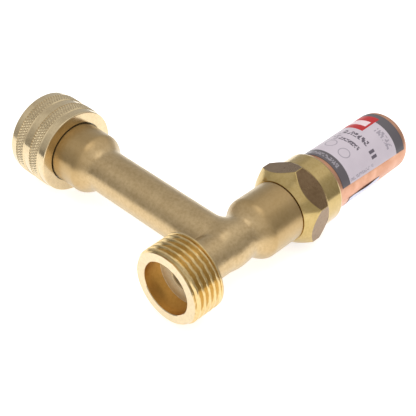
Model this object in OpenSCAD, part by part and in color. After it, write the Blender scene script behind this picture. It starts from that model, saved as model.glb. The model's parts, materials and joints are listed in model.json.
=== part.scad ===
// Water hammer arrester on a hose-thread tee.
// The run lies along +Y, from the outlet face at y = 0 to the closed end of the gas chamber.
// The branch runs along -X, from the run to the swivel inlet nut. Both axes lie in the plane z = 0.

/* [Outlet] */
// Outside diameter of the male hose thread
outlet_thread_d = 26.99; // [26.80:0.01:27.10]
// Length of the threaded end
outlet_len = 12.0; // [11.8:0.1:14.0]
// Diameter of the recess in the outlet face
outlet_recess_d = 18.8; // [16.0:0.1:20.0]
// Depth of the recess in the outlet face
outlet_recess_depth = 7.2; // [4.0:0.1:8.0]

/* [Tee] */
// Distance from the outlet face to the branch axis
branch_y = 26.6; // [25.0:0.1:27.0]
// Outside diameter of the run behind the thread
run_d = 15.0; // [14.6:0.1:15.4]
// Bore of the run
run_bore_d = 8.8; // [8.6:0.1:9.6]
// Outside diameter of the branch tube
branch_d = 15.7; // [15.5:0.1:16.5]
// Bore of the branch tube
branch_bore_d = 8.4; // [8.0:0.1:8.4]
// Distance from the run axis to the end of the tailpiece
tail_end = 77.0; // [72.0:0.5:90.0]
// Outside diameter of the tailpiece
tail_d = 22.2; // [21.6:0.1:22.4]

/* [Socket and hexagon] */
// Outside diameter of the socket that holds the cartridge
socket_d = 21.9; // [21.6:0.1:22.4]
// Distance from the outlet face to the mouth of the socket
socket_mouth_y = 53.0; // [53.0:0.5:60.0]
// Distance across the flats of the hexagon
hex_af = 26.4; // [26.2:0.1:27.5]
// Turn of the hexagon about the run axis
hex_turn = 22.5; // [0:0.5:60]
// Outside diameter of the crimped collar
collar_d = 25.9; // [25.6:0.1:26.1]

/* [Gas chamber] */
// Outside diameter of the copper chamber
chamber_d = 22.22; // [22.18:0.01:22.26]
// Wall of the copper chamber
chamber_wall = 1.0; // [0.90:0.01:1.0]
// Distance from the socket mouth to the closed end of the chamber
chamber_reach = 59.4; // [59.0:0.5:80.0]
// Radius of the drawn corner at the closed end
chamber_corner = 3.2; // [2.0:0.1:5.0]

/* [Piston] */
// Length of the piston
piston_len = 14.0; // [13.0:0.5:16.0]

/* [Swivel nut] */
// Outside diameter over the knurled bands
nut_d = 31.4; // [31.0:0.1:33.0]
// Length of the nut
nut_len = 17.6; // [17.5:0.1:20.0]
// Depth of the smooth bands below the knurled ones
band_step = 0.35; // [0.2:0.05:0.6]

/* [Labels] */
// Thickness of the printed labels
label_t = 0.12; // [0.08:0.01:0.20]
// Length of the main label along the chamber
label_len = 34.6; // [30.0:0.1:35.0]
// Arc of the main label round the chamber
label_arc = 183; // [120:1:220]
// Length of the small label along the chamber
code_label_len = 17.0; // [12.0:0.5:30.0]
// Arc of the small label round the chamber
code_label_arc = 88; // [40:1:100]

/* [Hidden] */

$fn = 96;
eps = 0.1;              // overshoot of a cutting tool past the face it cuts
gap = 0.1;              // play between faces that are screwed together

outlet_r = outlet_thread_d / 2;
recess_r = outlet_recess_d / 2;
run_r = run_d / 2;
run_bore_r = run_bore_d / 2;
branch_r = branch_d / 2;
branch_bore_r = branch_bore_d / 2;
tail_r = tail_d / 2;
socket_r = socket_d / 2;
hex_corner_r = hex_af / 2 / cos(30);
collar_r = collar_d / 2;
chamber_r = chamber_d / 2;
chamber_bore_r = chamber_r - chamber_wall;
nut_r = nut_d / 2;

// Hose thread: 11.5 turns an inch, 60 degree form. The male root is cut a little shallow.
hose_pitch = 25.4 / 11.5;
hose_depth = 1.3;
hose_crest = 0.4;
female_crest = 0.25;
face_chamfer = 0.9;
inlet_crest_r = 12.3;   // the female thread's inner radius
inlet_root_r = 13.6;
inlet_turns = 3;

// Cartridge thread, which joins the adaptor to the socket.
cart_pitch = 1.5;
cart_major_r = 9.0;
cart_minor_r = 8.1;
cart_crest = 0.2;
cart_play = 0.06;       // radial play between the male and the female thread
cart_turns = 5;

// Stations along the run.
swell_y = socket_mouth_y - 19.5;        // the run starts to swell into the socket
swelled_y = socket_mouth_y - 12.5;
socket_floor_y = socket_mouth_y - 10.2;
cart_start_y = socket_floor_y + 0.9;
seat_y = socket_mouth_y - 1.9;          // floor of the counterbore for the adaptor's O-ring
seat_r = 9.95;
adaptor_y = socket_mouth_y + gap;       // front face of the adaptor's flange
hex_front_y = adaptor_y + 4.8;          // the hexagon has its full corners between these two
hex_rear_y = hex_front_y + 3.2;
collar_y = hex_rear_y + 2.6;
collar_end_y = collar_y + 7.9;
slot_floor_y = adaptor_y + 8.9;         // floor of the slot that takes the copper tube
stub_end_y = collar_end_y - 0.4;
chamber_y = slot_floor_y + 0.2;
chamber_end_y = socket_mouth_y + chamber_reach;
piston_y = stub_end_y + 0.2;
label_y = collar_end_y + 2.3;
code_label_y = label_y + 4.0;
label_start = 17;                       // angle about the run where the main label starts
code_label_stop = -10;                  // and where the small one ends

// Adaptor, from the inside out.
adaptor_bore_r = 6.0;
flange_r = 11.3;
stub_r = chamber_bore_r - 0.11;
slot_r = chamber_r + 0.09;
bead_r = chamber_r + 0.5;               // bead on the tube, held by the rolled rim of the collar
bead_len = 1.4;

// Seals: radius of the cord, and radius of the ring that its centre draws.
adaptor_seal_r = 0.88;
adaptor_seal_centre_r = 9.0;
chamber_seal_r = 0.64;
chamber_seal_centre_r = chamber_bore_r - 0.68;
chamber_seal_y = stub_end_y - 3.5;
piston_seal_r = 0.73;
piston_seal_centre_r = chamber_bore_r - 0.76;
piston_seal_inset = 2.9;                // from an end of the piston to the nearer seal
seal_groove_play = 0.15;

// Stations along the branch, measured from the run axis.
neck_start = tail_end - 21.5;
neck_end = tail_end - 14.5;
nut_start = tail_end - 5.0;
nut_end = nut_start + nut_len;
ring_at = nut_start + 2.4;
washer_ledge = tail_end + 0.1;
washer_t = 3.1;
washer_od = 25.5;
washer_id = 15.9;
inlet_thread_start = washer_ledge + washer_t + 1.1;
nut_bore_r = tail_r + 0.4;
nut_low_r = nut_r - band_step;
knurl_1 = [nut_start + 2.9, nut_start + 7.6];
knurl_2 = [nut_start + 10.5, nut_start + 14.8];
mouth_r = 7.6;                          // flared mouth of the inlet passage

// Split ring that keeps the nut on the tailpiece.
wire_r = 0.85;
wire_centre_r = tail_r + 0.22;
wire_groove_w = 2 * wire_r + 0.2;
wire_gap_angle = 24;

// Every profile is a list of [radius, station] points, turned about its axis.

// A smooth swell from one radius to another.
function swell(r0, s0, r1, s1, n = 10) =
    [for (i = [0 : n]) let (t = i / n) [r0 + (r1 - r0) * (1 - cos(180 * t)) / 2, s0 + (s1 - s0) * t]];

// An arc about [r, s]: 0 degrees points outwards, 90 degrees along the axis.
function arc(r, s, rad, a0, a1, n = 8) =
    [for (i = [0 : n]) let (a = a0 + (a1 - a0) * i / n) [r + rad * cos(a), s + rad * sin(a)]];

// Teeth with flat crests, one for each turn of the thread.
function teeth(start, turns, pitch, crest_r, root_r, flat) =
    let (flank = (crest_r - root_r) * tan(30))
    [for (i = [0 : turns - 1], p = [[root_r, -flank], [crest_r, 0], [crest_r, flat], [root_r, flat + flank]])
        [p[0], start + i * pitch + p[1]]];

// A square groove, or a raised band, centred on a station.
function groove(centre, width, edge_r, floor_r) =
    [[edge_r, centre - width / 2], [floor_r, centre - width / 2],
     [floor_r, centre + width / 2], [edge_r, centre + width / 2]];

module turned(points) { rotate_extrude() polygon(points); }

// An O-ring at a station along the axis.
module o_ring(centre_r, cord_r, at) {
    translate([0, 0, at]) rotate_extrude() translate([centre_r, 0]) circle(r = cord_r);
}

// Places a turned shape on the run, so that its angles go from +X towards +Z.
module along_run() { rotate([90, 0, 0]) mirror([0, 0, 1]) children(); }

module along_branch() { translate([0, branch_y, 0]) rotate([0, -90, 0]) children(); }

// Tee: one brass casting, with a machined outlet thread, socket and tailpiece.

module run_skin() {
    crest_y = outlet_len - 0.6;         // start of the last, wider crest
    root_r = outlet_r - hose_depth;
    flank = hose_depth * tan(30);
    turned(concat(
        [[0, 0], [outlet_r - face_chamfer, 0], [outlet_r - 0.3, 0.6], [outlet_r - 0.3, 0.9]],
        teeth(crest_y - 4 * hose_pitch, 4, hose_pitch, outlet_r, root_r, hose_crest),
        [[root_r, crest_y - flank], [outlet_r, crest_y], [outlet_r, outlet_len]],
        arc(run_r + 1.2, outlet_len + 1.2, 1.2, -90, -180),
        swell(run_r, swell_y, socket_r, swelled_y),
        [[socket_r, socket_mouth_y - 0.3], [socket_r - 0.3, socket_mouth_y], [0, socket_mouth_y]]
    ));
}

// The branch starts in a round cap that rounds off the far side of the run.
module branch_skin() {
    turned(concat(
        [[0, -branch_r]],
        arc(0, 0, branch_r, -80, 0),
        swell(branch_r, neck_start, tail_r, neck_end),
        groove(ring_at, wire_groove_w, tail_r, tail_r - 0.8),
        [[tail_r, tail_end - 0.4], [tail_r - 0.4, tail_end], [0, tail_end]]
    ));
}

module run_passage() {
    turned(concat(
        [[0, -eps], [recess_r, -eps], [recess_r, outlet_recess_depth], [run_bore_r, outlet_recess_depth]],
        [[run_bore_r, socket_floor_y], [cart_minor_r, socket_floor_y]],
        teeth(cart_start_y, cart_turns, cart_pitch, cart_major_r, cart_minor_r, cart_crest),
        [[cart_minor_r, seat_y], [seat_r, seat_y], [seat_r, socket_mouth_y + eps], [0, socket_mouth_y + eps]]
    ));
}

module branch_passage() {
    turned([[0, 0], [branch_bore_r, 0], [branch_bore_r, tail_end - 13], [mouth_r, tail_end - 10],
            [mouth_r, tail_end + eps], [0, tail_end + eps]]);
}

module tee_body() {
    color("#b39a68") difference() {
        union() {
            along_run() run_skin();
            along_branch() branch_skin();
        }
        along_run() run_passage();
        along_branch() branch_passage();
    }
}

// Swivel inlet: the nut, the split ring that keeps it on the tailpiece, and the hose washer.

module nut_skin() {
    turned([[0, nut_start], [nut_low_r - 0.5, nut_start], [nut_low_r, nut_start + 0.5],
            [nut_low_r, knurl_1[0]], [nut_r, knurl_1[0] + 0.3], [nut_r, knurl_1[1] - 0.3],
            [nut_low_r, knurl_1[1]], [nut_low_r, knurl_2[0]], [nut_r, knurl_2[0] + 0.3],
            [nut_r, knurl_2[1] - 0.3], [nut_low_r, knurl_2[1]],
            [nut_low_r, nut_end - 0.7], [nut_low_r - 0.7, nut_end], [0, nut_end]]);
}

module nut_cavity() {
    turned(concat(
        [[0, nut_start - eps], [nut_bore_r, nut_start - eps]],
        groove(ring_at, wire_groove_w, nut_bore_r, nut_bore_r + 1.0),
        [[nut_bore_r, washer_ledge], [inlet_root_r, washer_ledge], [inlet_root_r, inlet_thread_start - 1.5]],
        [[inlet_crest_r, inlet_thread_start - 0.8]],
        teeth(inlet_thread_start, inlet_turns, hose_pitch, inlet_root_r, inlet_crest_r, female_crest),
        [[inlet_crest_r, nut_end - 0.9], [inlet_crest_r + 1.0, nut_end + eps], [0, nut_end + eps]]
    ));
}

module swivel_nut() {
    color("#d9bd7c") along_branch() difference() {
        nut_skin();
        nut_cavity();
    }
}

module nut_retaining_ring() {
    color("#c9a55c") along_branch() translate([0, 0, ring_at])
        rotate_extrude(angle = 360 - wire_gap_angle) translate([wire_centre_r, 0]) circle(r = wire_r);
}

module inlet_washer() {
    color("#2b2b2b") along_branch() turned([
        [washer_id / 2, washer_ledge], [washer_od / 2, washer_ledge],
        [washer_od / 2, washer_ledge + washer_t], [washer_id / 2, washer_ledge + washer_t]
    ]);
}

// Arrester cartridge: adaptor, gas chamber, and the piston between the water and the gas.

module adaptor_skin() {
    spigot_y = cart_start_y + 0.4;
    crest_r = cart_major_r - cart_play;
    root_r = cart_minor_r - cart_play;
    lip_r = slot_r + 0.7;
    turned(concat(
        [[0, spigot_y], [root_r - 0.4, spigot_y], [root_r, spigot_y + 0.4]],
        teeth(cart_start_y + cart_pitch, cart_turns - 1, cart_pitch, crest_r, root_r, cart_crest),
        [[root_r, adaptor_y], [flange_r, adaptor_y], [hex_corner_r + eps, hex_front_y + eps]],
        [[hex_corner_r + eps, hex_rear_y - eps], [collar_r, collar_y]],
        [[collar_r, collar_end_y - 1.2], [collar_r - 0.3, collar_end_y - 0.5], [lip_r, collar_end_y]],
        [[0, collar_end_y]]
    ));
}

module hexagon() {
    translate([0, 0, adaptor_y]) rotate([0, 0, hex_turn])
        cylinder(r = hex_corner_r, h = collar_y - adaptor_y, $fn = 6);
}

// Everything outside the hexagon, between the flange and the collar.
module around_hexagon() {
    difference() {
        translate([0, 0, adaptor_y]) cylinder(r = hex_corner_r + 1, h = collar_y - adaptor_y);
        hexagon();
    }
}

module tube_slot() {
    bead_room = bead_r + 0.1;
    bead_end = chamber_y + bead_len + 0.2;
    turned(concat(
        [[stub_r, slot_floor_y], [bead_room, slot_floor_y], [bead_room, bead_end], [slot_r, bead_end + 0.6]],
        [[slot_r, collar_end_y + eps], [stub_r, collar_end_y + eps]]
    ));
}

module adaptor_passage() {
    stub_bore_r = stub_r - 2.4;
    turned([[0, socket_floor_y], [adaptor_bore_r, socket_floor_y], [adaptor_bore_r, slot_floor_y],
            [stub_bore_r, slot_floor_y + 2], [stub_bore_r, stub_end_y],
            [stub_r + eps, stub_end_y], [stub_r + eps, collar_end_y + eps], [0, collar_end_y + eps]]);
}

module chamber_seal_groove() {
    floor_r = chamber_seal_centre_r - chamber_seal_r - 0.03;
    half = chamber_seal_r + seal_groove_play;
    turned([[floor_r, chamber_seal_y - half], [stub_r + eps, chamber_seal_y - half],
            [stub_r + eps, chamber_seal_y + half], [floor_r, chamber_seal_y + half]]);
}

module cartridge_adaptor() {
    color("#c2a75a") along_run() difference() {
        adaptor_skin();
        around_hexagon();
        tube_slot();
        adaptor_passage();
        chamber_seal_groove();
    }
}

module adaptor_o_ring() {
    color("#1f1f1f") along_run() o_ring(adaptor_seal_centre_r, adaptor_seal_r, (seat_y + adaptor_y) / 2);
}

module chamber() {
    corner_r = chamber_r - chamber_corner;
    corner_y = chamber_end_y - chamber_corner;
    color("#e8a983") along_run() turned(concat(
        [[chamber_bore_r, chamber_y], [bead_r, chamber_y], [bead_r, chamber_y + bead_len]],
        [[chamber_r, chamber_y + bead_len + 0.6]],
        arc(corner_r, corner_y, chamber_corner, 0, 90),
        [[0, chamber_end_y], [0, chamber_end_y - chamber_wall]],
        arc(corner_r, corner_y, chamber_corner - chamber_wall, 90, 0)
    ));
}

module chamber_o_ring() {
    color("#1f1f1f") along_run() o_ring(chamber_seal_centre_r, chamber_seal_r, chamber_seal_y);
}

// The piston is a cup with its mouth towards the gas and a groove near each end.
module piston() {
    skin_r = chamber_bore_r - 0.06;
    floor_r = piston_seal_centre_r - piston_seal_r - 0.02;
    groove_w = 2 * (piston_seal_r + seal_groove_play);
    cup_r = 6.4;
    cup_floor = 4.5;
    color("#e9e6dc") along_run() translate([0, 0, piston_y]) turned(concat(
        [[0, 0], [skin_r - 0.5, 0], [skin_r, 0.5]],
        groove(piston_seal_inset, groove_w, skin_r, floor_r),
        groove(piston_len - piston_seal_inset, groove_w, skin_r, floor_r),
        [[skin_r, piston_len - 0.5], [skin_r - 0.5, piston_len], [cup_r, piston_len]],
        [[cup_r, cup_floor + 1], [cup_r - 1, cup_floor], [0, cup_floor]]
    ));
}

module piston_o_ring_front() {
    color("#1f1f1f") along_run() o_ring(piston_seal_centre_r, piston_seal_r, piston_y + piston_seal_inset);
}

module piston_o_ring_rear() {
    color("#1f1f1f") along_run()
        o_ring(piston_seal_centre_r, piston_seal_r, piston_y + piston_len - piston_seal_inset);
}

// Labels: thin printed sleeves stuck round part of the chamber.

module label(start_angle, sweep, from_y, length) {
    inner_r = chamber_r + 0.01;
    along_run() rotate([0, 0, start_angle]) rotate_extrude(angle = sweep)
        translate([inner_r, from_y]) square([label_t, length]);
}

module main_label() {
    color("#cdc3cd") label(label_start, label_arc, label_y, label_len);
}

module code_label() {
    color("#e6e8f0") label(code_label_stop - code_label_arc, code_label_arc, code_label_y, code_label_len);
}

tee_body();
swivel_nut();
nut_retaining_ring();
inlet_washer();
cartridge_adaptor();
adaptor_o_ring();
chamber();
chamber_o_ring();
piston();
piston_o_ring_front();
piston_o_ring_rear();
main_label();
code_label();
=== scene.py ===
"""Water hammer arrester on a hose-thread tee: the looks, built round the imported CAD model.

Lengths are millimetres until mesh_object() turns them into metres. The stage is in metres.
The run lies along +Y through the origin, and the branch along -X at y = branch_y.
"""

import json
import math

import bmesh
import bpy
import numpy as np
from mathutils import Matrix, Vector


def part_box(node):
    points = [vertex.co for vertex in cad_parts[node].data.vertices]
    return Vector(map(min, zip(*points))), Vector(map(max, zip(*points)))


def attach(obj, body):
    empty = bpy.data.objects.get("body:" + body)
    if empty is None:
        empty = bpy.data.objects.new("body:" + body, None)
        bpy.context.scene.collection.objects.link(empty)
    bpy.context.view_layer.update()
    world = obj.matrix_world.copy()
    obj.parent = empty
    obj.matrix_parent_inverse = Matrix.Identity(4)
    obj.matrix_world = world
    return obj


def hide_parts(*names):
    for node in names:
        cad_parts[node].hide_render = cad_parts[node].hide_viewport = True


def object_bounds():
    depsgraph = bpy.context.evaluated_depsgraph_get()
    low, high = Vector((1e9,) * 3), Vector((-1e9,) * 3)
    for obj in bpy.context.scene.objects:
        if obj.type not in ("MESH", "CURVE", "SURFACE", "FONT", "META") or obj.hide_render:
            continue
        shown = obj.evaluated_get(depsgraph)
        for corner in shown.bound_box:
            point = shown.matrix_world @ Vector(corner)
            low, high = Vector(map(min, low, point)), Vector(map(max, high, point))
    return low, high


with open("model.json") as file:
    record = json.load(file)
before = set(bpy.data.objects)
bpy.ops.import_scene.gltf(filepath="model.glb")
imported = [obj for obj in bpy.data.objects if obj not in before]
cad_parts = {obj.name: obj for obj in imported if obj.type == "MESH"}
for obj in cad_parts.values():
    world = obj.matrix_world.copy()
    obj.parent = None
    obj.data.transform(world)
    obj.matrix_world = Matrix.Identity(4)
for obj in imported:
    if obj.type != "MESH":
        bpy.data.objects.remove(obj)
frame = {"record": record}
cad_box = [list(corner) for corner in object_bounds()]

MM = 0.001
INCH = 25.4
FULL_TURN = 2 * math.pi


# Sizes that the CAD nodes give.

def node_box(node):
    """Lowest and highest corner of a CAD node, in millimetres."""
    low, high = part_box(node)
    return np.array(low) / MM, np.array(high) / MM


tee_low, tee_high = node_box("tee_body")
nut_low, nut_high = node_box("swivel_nut")
adaptor_high = node_box("cartridge_adaptor")[1]
chamber_low, chamber_high = node_box("chamber")
washer_low, washer_high = node_box("inlet_washer")
ring_low, ring_high = node_box("nut_retaining_ring")
label_low, label_high = node_box("main_label")
code_low, code_high = node_box("code_label")
piston_low, piston_high = node_box("piston")
adaptor_seal_low, adaptor_seal_high = node_box("adaptor_o_ring")
chamber_seal_low, chamber_seal_high = node_box("chamber_o_ring")
front_seal_low, front_seal_high = node_box("piston_o_ring_front")
rear_seal_low, rear_seal_high = node_box("piston_o_ring_rear")
mounts = {m["name"]: m for m in frame["record"]["mounts"]}

branch_y = (nut_low[1] + nut_high[1]) / 2
outlet_r = tee_high[0]
recess_r = mounts["outlet_recess"]["dims"]["r_mm"]
recess_depth = mounts["outlet_recess"]["dims"]["length_mm"]
socket_mouth_y = tee_high[1]
tail_end = -tee_low[0]
nut_r = (nut_high[2] - nut_low[2]) / 2
nut_start, nut_end = -nut_high[0], -nut_low[0]
inlet_crest_r = mounts["inlet_thread"]["dims"]["r_mm"]
hex_corner_turn = math.radians(22.5)      # as in the CAD, from +X towards +Z


# Mesh making. A profile is a list of [radius, station] points about an axis.

SMOOTH_ANGLE = 32               # degrees: sharper edges than this stay sharp
WELD = 1e-7                     # points closer than this become one, in metres
CORNER_SHARE = 0.45             # of a side, the most that one rounded corner takes
NEARLY_STRAIGHT = math.radians(165)


def mesh_object(name, points, faces, smooth_angle=SMOOTH_ANGLE):
    """A mesh object from points in millimetres, smooth but for its sharp edges."""
    mesh = bpy.data.meshes.new(name)
    mesh.from_pydata([tuple(p) for p in np.asarray(points, float) * MM], [], [tuple(f) for f in faces])
    obj = bpy.data.objects.new(name, mesh)
    bpy.context.scene.collection.objects.link(obj)
    finish_mesh(obj, smooth_angle)
    return obj


def finish_mesh(obj, smooth_angle=SMOOTH_ANGLE):
    """Outward normals, and smooth shading with sharp edges kept."""
    work = bmesh.new()
    work.from_mesh(obj.data)
    bmesh.ops.remove_doubles(work, verts=work.verts, dist=WELD)
    bmesh.ops.recalc_face_normals(work, faces=work.faces)
    if work.calc_volume(signed=True) < 0:
        bmesh.ops.reverse_faces(work, faces=work.faces)
    limit = math.radians(smooth_angle)
    for face in work.faces:
        face.smooth = True
    for edge in work.edges:
        edge.smooth = len(edge.link_faces) != 2 or edge.calc_face_angle(0) < limit
    work.to_mesh(obj.data)
    work.free()


def grid_faces(rows, columns, wrap_rows=False, wrap_columns=True):
    """Quads of a grid whose vertices are numbered row by row."""
    faces = []
    for i in range(rows if wrap_rows else rows - 1):
        for j in range(columns if wrap_columns else columns - 1):
            i2, j2 = (i + 1) % rows, (j + 1) % columns
            faces.append((i * columns + j, i * columns + j2, i2 * columns + j2, i2 * columns + j))
    return faces


def on_run(radius, station, angle):
    """A point about the run. Angles go from +X towards +Z."""
    return radius * np.cos(angle), station, radius * np.sin(angle)


def on_branch(radius, station, angle):
    """A point about the branch. Angles go from +Y towards +Z, and stations run towards -X."""
    return -station, branch_y + radius * np.cos(angle), radius * np.sin(angle)


def turned_grid(profile, about, columns=144, shape=None, angles=None):
    """Rows of points for a shape turned about on_run or on_branch.
    shape(radii, stations, angles) may change radii and stations."""
    if angles is None:
        angles = np.arange(columns) * FULL_TURN / columns
    rows = []
    for radius, station in profile:
        radii, at = np.full(len(angles), float(radius)), np.full(len(angles), float(station))
        if shape is not None:
            radii, at = shape(radii, at, angles)
        rows.append(np.stack(about(radii, at, angles), axis=1))
    return np.array(rows)


def turned(name, profile, about, closed=True, columns=144, shape=None, angles=None,
           smooth_angle=SMOOTH_ANGLE):
    """A turned solid. A closed profile is a loop; an open one starts and ends on the axis."""
    grid = turned_grid(profile, about, columns, shape, angles)
    rows, count = grid.shape[:2]
    faces = grid_faces(rows, count, wrap_rows=closed)
    return mesh_object(name, grid.reshape(-1, 3), faces, smooth_angle)


def rounded(points, radius, closed=True, steps=4):
    """The profile with every corner rounded by an arc, as far as its sides leave room."""
    points = np.asarray(points, float)
    count, out = len(points), []
    for i, corner in enumerate(points):
        if not closed and i in (0, count - 1):
            out.append(corner)
            continue
        before, after = points[i - 1] - corner, points[(i + 1) % count] - corner
        room = min(np.linalg.norm(before), np.linalg.norm(after)) * CORNER_SHARE
        before, after = before / np.linalg.norm(before), after / np.linalg.norm(after)
        bend = math.acos(float(np.clip(before @ after, -1, 1)))
        if bend > NEARLY_STRAIGHT:
            out.append(corner)
            continue
        back = min(radius / math.tan(bend / 2), room)
        start, end = corner + before * back, corner + after * back
        for t in np.linspace(0, 1, steps + 1):
            out.append((1 - t) ** 2 * start + 2 * t * (1 - t) * corner + t ** 2 * end)
    return out


def arc(radius, station, bend, start, end, steps=10):
    """An arc of the profile about [radius, station]: 0 degrees outwards, 90 along the axis."""
    turns = np.radians(np.linspace(start, end, steps + 1))
    return [[radius + bend * math.cos(a), station + bend * math.sin(a)] for a in turns]


def stations(start, end, step):
    """Evenly spaced stations from start to end, both included."""
    return np.linspace(start, end, max(2, round(abs(end - start) / step) + 1))


def boolean(target, cutter, operation):
    """Joins or cuts two closed meshes and drops the cutter."""
    modifier = target.modifiers.new(operation, "BOOLEAN")
    modifier.operation, modifier.object, modifier.solver = operation, cutter, "MANIFOLD"
    graph = bpy.context.evaluated_depsgraph_get()
    result = bpy.data.meshes.new_from_object(target.evaluated_get(graph))
    target.modifiers.clear()
    target.data = result
    bpy.data.objects.remove(cutter)


def smoothstep(low, high, value):
    """0 up to low and 1 from high on, with a soft step between. high may be the smaller."""
    t = np.clip((value - low) / (high - low), 0, 1)
    return t * t * (3 - 2 * t)


# Threads and knurls, as heights over a turned surface.

HOSE_PITCH = INCH / 11.5
HOSE_DEPTH = 1.3
CARTRIDGE_PITCH = 1.5


def thread_wave(turns, crest, root):
    """0 at the root and 1 at the crest of a trapezium thread. crest and root are shares of the pitch."""
    phase = np.abs((turns % 1.0) - 0.5) * 2
    return np.clip((phase - root) / (1 - crest - root), 0, 1)


def knurl_wave(turns_1, turns_2):
    """0 at the tips of a diamond knurl and 1 at the bottom of its crossing grooves."""
    groove_1 = np.abs((turns_1 % 1.0) - 0.5) * 2
    groove_2 = np.abs((turns_2 % 1.0) - 0.5) * 2
    return np.maximum(groove_1, groove_2)


# Cast body of the tee: a field that is negative inside, and a mesh of where it is zero.

RUN_R = 7.5
BRANCH_R = 7.85
SOCKET_R = 10.95
TAIL_R = 11.1
OUTLET_LEN = 12.0
SHOULDER_FILLET = 1.2
SOCKET_SWELL = (socket_mouth_y - 19.5, socket_mouth_y - 12.5)
NECK_SWELL = (tail_end - 21.5, tail_end - 14.5)
FIELD_STEP = 0.42
FIELD_MARGIN = 2
CROTCH_BLEND = (0.7, 3.6)       # blend towards the outlet, and towards the socket
CROTCH_SPAN = 6                 # the blend changes over this far each side of the branch's axis
CAP_TRIM = 0.5                  # taken off the branch's round cap on the far side of the run
HIDDEN = 3                      # how far the casting reaches into the threaded end


def cosine_swell(low, high, span, station):
    """A radius that goes from low to high over a span of stations."""
    t = np.clip((station - span[0]) / (span[1] - span[0]), 0, 1)
    return low + (high - low) * (1 - np.cos(math.pi * t)) / 2


def run_radius(y):
    """Radius of the cast run, with a fillet where it meets the back of the threaded end."""
    rise = np.clip(SHOULDER_FILLET - (y - OUTLET_LEN), 0, SHOULDER_FILLET)
    fillet = SHOULDER_FILLET - np.sqrt(SHOULDER_FILLET ** 2 - rise ** 2)
    return cosine_swell(RUN_R, SOCKET_R, SOCKET_SWELL, y) + fillet


def cast_field(x, y, z):
    """Negative inside the cast run and branch, which blend where they meet."""
    run = np.hypot(x, z) - run_radius(y)
    run = np.maximum(run, np.maximum(OUTLET_LEN - HIDDEN - y, y - socket_mouth_y - 1))
    reach = np.hypot(y - branch_y, z)
    branch = np.where(x > 0, np.hypot(reach, x) + CAP_TRIM * smoothstep(0, 5, x), reach)
    branch = branch - cosine_swell(BRANCH_R, TAIL_R, NECK_SWELL, -x)
    branch = np.maximum(branch, -x - tail_end - 1)
    side = smoothstep(branch_y - CROTCH_SPAN, branch_y + CROTCH_SPAN, y)
    blend = CROTCH_BLEND[0] + (CROTCH_BLEND[1] - CROTCH_BLEND[0]) * side
    near = np.maximum(blend - np.abs(run - branch), 0) / blend
    return np.minimum(run, branch) - near ** 2 * blend / 4


def onto_field(points, field, rounds=4, probe=1e-3):
    """Points moved onto the field's zero surface."""
    for _ in range(rounds):
        value = field(*points.T)
        slope = np.stack([
            (field(*(points + step).T) - field(*(points - step).T)) / (2 * probe)
            for step in np.eye(3) * probe
        ], axis=1)
        points = points - slope * (value / np.maximum((slope ** 2).sum(1), 0.05))[:, None]
    return points


def field_mesh(name, field, low, high, step):
    """A closed mesh of evenly spaced quads on the field's zero surface."""
    axes = [np.arange(a, b + step, step) for a, b in zip(low, high)]
    values = field(*np.meshgrid(*axes, indexing="ij"))
    cells = tuple(n - 1 for n in values.shape)
    total, count = np.zeros(cells + (3,)), np.zeros(cells)
    edges = []
    for axis in range(3):
        start = np.take(values, range(values.shape[axis] - 1), axis)
        end = np.take(values, range(1, values.shape[axis]), axis)
        found = np.argwhere((start < 0) != (end < 0))
        share = start[tuple(found.T)] / (start[tuple(found.T)] - end[tuple(found.T)])
        points = found * step + np.array([a[0] for a in axes])
        points[:, axis] += share * step
        others = [np.eye(3, dtype=int)[k] for k in range(3) if k != axis]
        around = [found, found - others[0], found - others[0] - others[1], found - others[1]]
        for cell in around:
            np.add.at(total, tuple(cell.T), points)
            np.add.at(count, tuple(cell.T), 1)
        edges.append(around)
    number = np.cumsum(count.ravel() > 0).reshape(cells) - 1
    vertices = onto_field(total[count > 0] / count[count > 0][:, None], field)
    faces = []
    for around in edges:
        faces += np.stack([number[tuple(cell.T)] for cell in around], axis=1).tolist()
    return mesh_object(name, vertices, faces)


# Tee.

RUN_BORE_R = 4.4
BRANCH_BORE_R = 4.2
SEAT_R = 9.95
CART_MINOR_R = 8.1
CART_MAJOR_R = 9.0
SOCKET_DEPTH = 10.2
SEAT_DEPTH = 1.9
MOUTH_R = 7.6
MOUTH_FLARE = (13, 10)          # where the passage starts to flare and is full, from the tail's end
FACE_CHAMFER = 0.95             # how far the outlet thread's chamfer starts inside the crests
CHAMFER_SLOPE = 0.8
THREAD_SHIFT = 0.35             # where the outlet thread's turns start
RING_STATION = nut_start + 2.4
RING_GROOVE_HALF = 0.95
RING_GROOVE_DEPTH = 0.8
THREAD_STEP = 0.11


def outlet_thread_shape(radii, at, angles):
    """Right-hand hose thread with a chamfered start that runs into the shoulder."""
    root = outlet_r - HOSE_DEPTH
    wave = thread_wave((at + THREAD_SHIFT) / HOSE_PITCH + angles / FULL_TURN, 0.20, 0.16)
    wave = np.maximum(wave, smoothstep(OUTLET_LEN - 1.0, OUTLET_LEN - 0.7, at))
    threaded = np.minimum(root + HOSE_DEPTH * wave, outlet_r - FACE_CHAMFER + CHAMFER_SLOPE * at)
    return np.where((radii > root - 0.01) & (at > 0), threaded, radii), at


def threaded_end():
    """The machined outlet end, solid, from its face to its shoulder."""
    skin = [[outlet_r - 0.8, y] for y in stations(0.04, OUTLET_LEN, THREAD_STEP)]
    back = [[9.5, OUTLET_LEN], [5, OUTLET_LEN], [0, OUTLET_LEN]]
    profile = [[0, 0], [5, 0], [outlet_r - FACE_CHAMFER, 0]] + skin + back
    return turned("outlet_end", profile, on_run, False, 240, outlet_thread_shape)


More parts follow.
